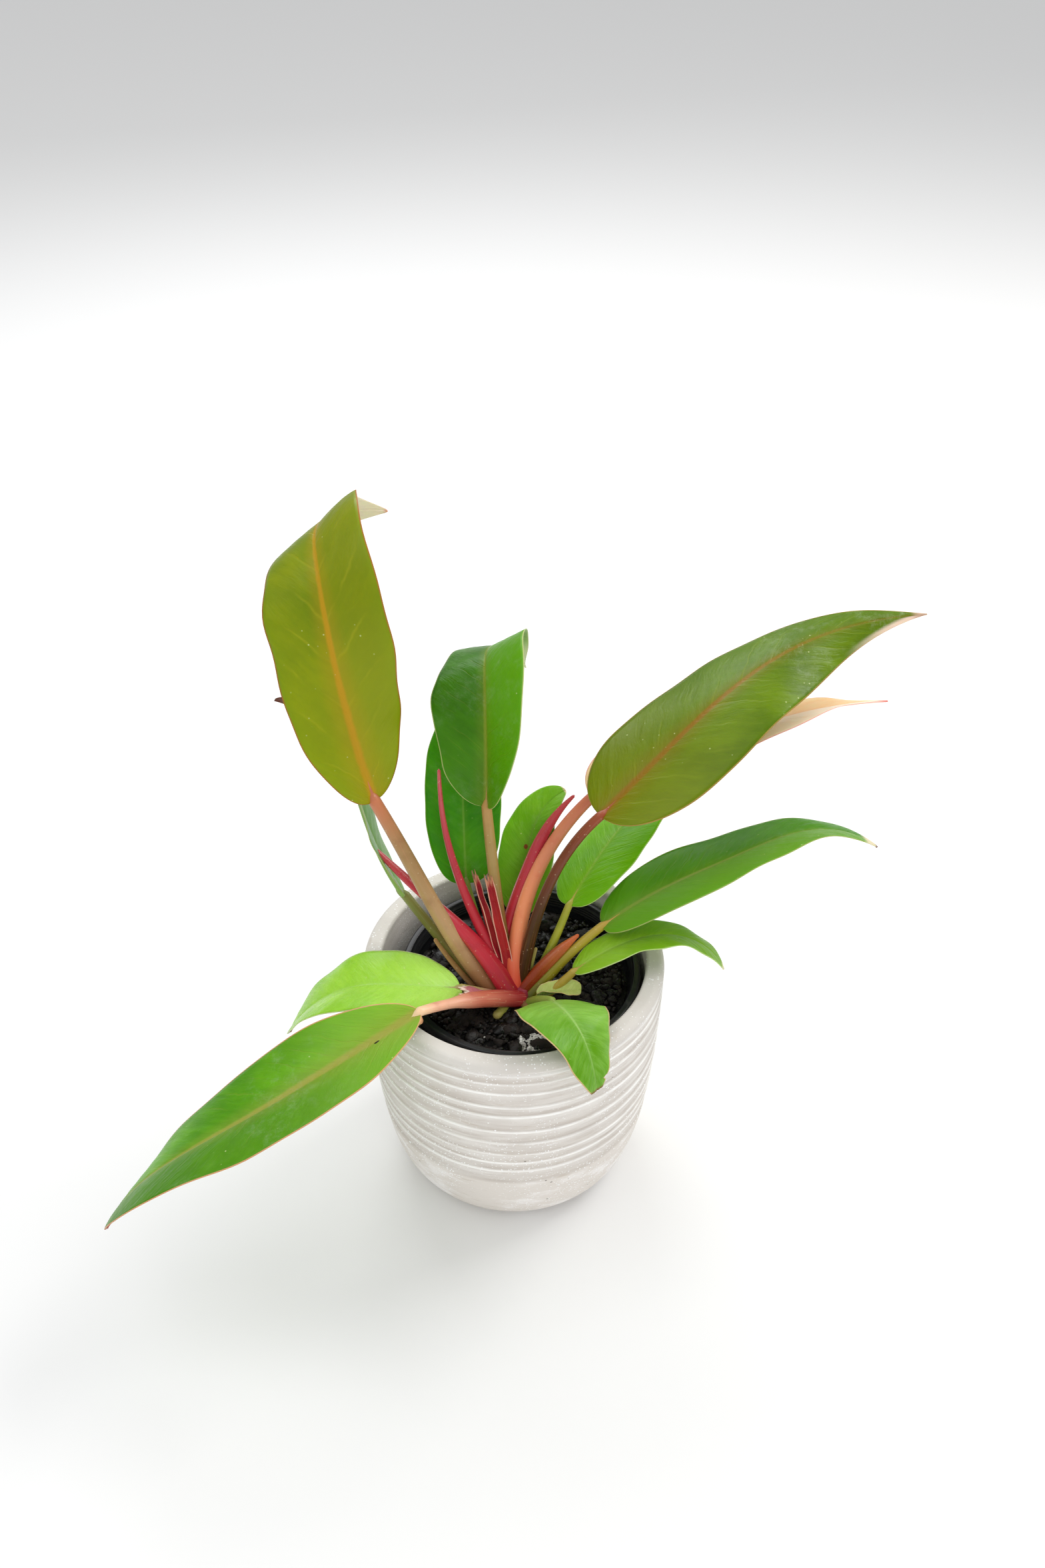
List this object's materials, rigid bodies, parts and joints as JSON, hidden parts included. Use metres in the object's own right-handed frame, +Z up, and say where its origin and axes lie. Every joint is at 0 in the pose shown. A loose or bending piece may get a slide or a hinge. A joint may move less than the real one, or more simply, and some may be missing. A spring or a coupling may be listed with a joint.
{
  "type": "potted philodendron",
  "caption": "Leafy philodendron growing from one short crown in a nursery pot, set loose inside a round ribbed cement planter that stands on its flat foot.",
  "frame": {"origin": "centre of the planter's flat foot", "axes": "+Z up along the planter's axis, -Y is the front, where the small leaf hangs over the rim, +X is the side of the longest nearly level leaves"},
  "size_m": [0.3438, 0.2064, 0.3005],
  "materials": {
    "cement": "whitewashed fine cement, matte, with shallow hand-turned ribs and a smooth band at rim and foot",
    "black_plastic": "thin moulded satin black plastic",
    "potting_soil": "dark crumbly potting mix with bark and a little perlite",
    "crown_flesh": "smooth moist red-green plant stem",
    "leaf_green": "smooth waxy leaf, fine side veins, thin pale or reddish margin",
    "new_leaf": "smooth satin young leaf, peach with a pink margin",
    "petiole_flesh": "smooth satin leaf stalk, from olive and khaki to salmon",
    "red_sheath": "glossy crimson rolled leaf or sheath",
    "dry_sheath": "dry brown papery sheath"
  },
  "bodies": {
    "root": {"blade.behind_centre": "leaf_green", "blade.curled": "leaf_green", "blade.edge_left": "leaf_green", "blade.front_drooping": "leaf_green", "blade.long_front_left": "leaf_green", "blade.long_right": "leaf_green", "blade.low_left": "leaf_green", "blade.low_right": "leaf_green", "blade.mid_right": "leaf_green", "blade.new_right": "new_leaf", "blade.small_back": "leaf_green", "blade.tall_centre": "leaf_green", "blade.tall_left": "leaf_green", "blade.under_right": "leaf_green", "crown": "crown_flesh", "nursery_pot": "black_plastic", "petiole.behind_centre": "petiole_flesh", "petiole.edge_left": "petiole_flesh", "petiole.front_drooping": "petiole_flesh", "petiole.long_front_left": "petiole_flesh", "petiole.long_right": "petiole_flesh", "petiole.low_left": "petiole_flesh", "petiole.low_right": "petiole_flesh", "petiole.mid_right": "petiole_flesh", "petiole.new_right": "petiole_flesh", "petiole.small_back": "petiole_flesh", "petiole.tall_centre": "petiole_flesh", "petiole.tall_left": "petiole_flesh", "petiole.under_right": "petiole_flesh", "planter": "cement", "potting_soil": "potting_soil", "rolled_leaf_right": "red_sheath", "rolled_leaf_short": "red_sheath", "rolled_leaf_tall": "red_sheath", "scrap_dry_front": "dry_sheath", "sheath_broad": "red_sheath", "sheath_dry_left": "dry_sheath", "sheath_small_right": "petiole_flesh", "sheath_torn_left": "red_sheath", "sheath_torn_right": "red_sheath", "stub_old_leaf": "petiole_flesh"}
  },
  "joints": []
}
